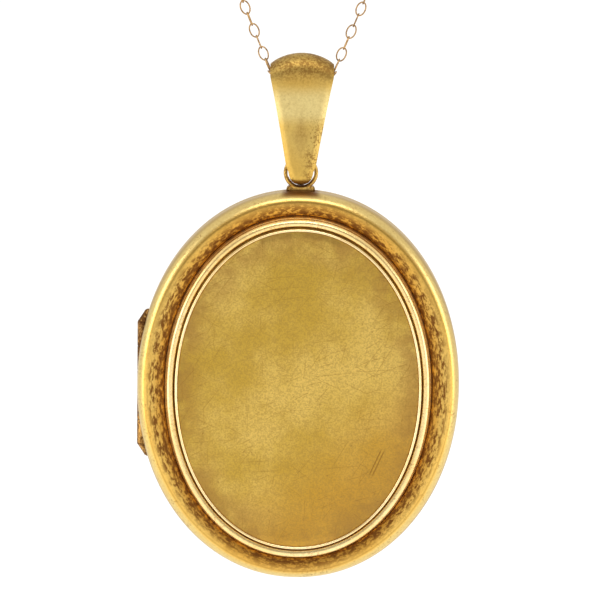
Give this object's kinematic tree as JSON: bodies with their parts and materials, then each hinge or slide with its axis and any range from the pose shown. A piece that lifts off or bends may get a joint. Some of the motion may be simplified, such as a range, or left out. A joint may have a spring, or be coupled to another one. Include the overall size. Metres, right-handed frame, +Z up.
{
  "type": "locket",
  "caption": "Oval hinged locket with half-round rims, stepped mouldings and plain panels, hung by a tapered bail on a fine trace chain.",
  "frame": {"origin": "the line of the chain in the middle of the top of the bail, where the locket hangs", "axes": "+Z up along the hanging locket, -Y out of the cover, +X to the right of someone who looks at the cover; the hinge is on -X"},
  "size_m": [0.0419, 0.0088, 0.0826],
  "materials": {
    "rim_gold": "soft polish with rubbed patina",
    "panel_gold": "matte, fine grained, lightly scratched",
    "bail_gold": "satin with mottled patina on the crown",
    "chain_gold": "rosy gold, lightly tarnished",
    "inner_gold": "clean polish inside the case",
    "glass": "clear and thin",
    "card": "blank cream card"
  },
  "bodies": {
    "chain": {"chain_links": "chain_gold", "chain_end_ring_left": "chain_gold", "chain_end_ring_right": "chain_gold"},
    "bail": {"bail_strap": "bail_gold"},
    "back_case": {"suspension_ring": "bail_gold", "ring_foot": "bail_gold", "back_rim": "rim_gold", "back_seam_ring": "inner_gold", "back_moulding": "rim_gold", "back_plate": "panel_gold", "back_lip_wire": "rim_gold", "back_snap_rim": "inner_gold", "back_photo_frame": "inner_gold", "back_glass": "glass", "back_photo_card": "card", "back_frame_backing": "inner_gold", "hinge_knuckles_back": "rim_gold", "hinge_pin": "rim_gold", "hinge_tips": "rim_gold"},
    "front_cover": {"front_rim": "rim_gold", "front_seam_ring": "inner_gold", "front_moulding": "rim_gold", "front_plate": "panel_gold", "front_lip_wire": "rim_gold", "front_photo_frame": "inner_gold", "front_glass": "glass", "front_photo_card": "card", "front_frame_backing": "inner_gold", "hinge_knuckles_front": "rim_gold"}
  },
  "joints": [
    {"name": "bail_on_chain", "type": "hinge", "parent": "chain", "child": "bail", "pos_m": [0, 0, 0], "axis": [1, 0, 0], "range_deg": [-80, 80]},
    {"name": "case_swing", "type": "hinge", "parent": "bail", "child": "back_case", "pos_m": [0, 0, -0.01067], "axis": [1, 0, 0], "range_deg": [-28, 28]},
    {"name": "cover_hinge", "type": "hinge", "parent": "back_case", "child": "front_cover", "pos_m": [-0.0201, 0, -0.04044], "axis": [0, 0, -1], "range_deg": [0, 105]}
  ]
}
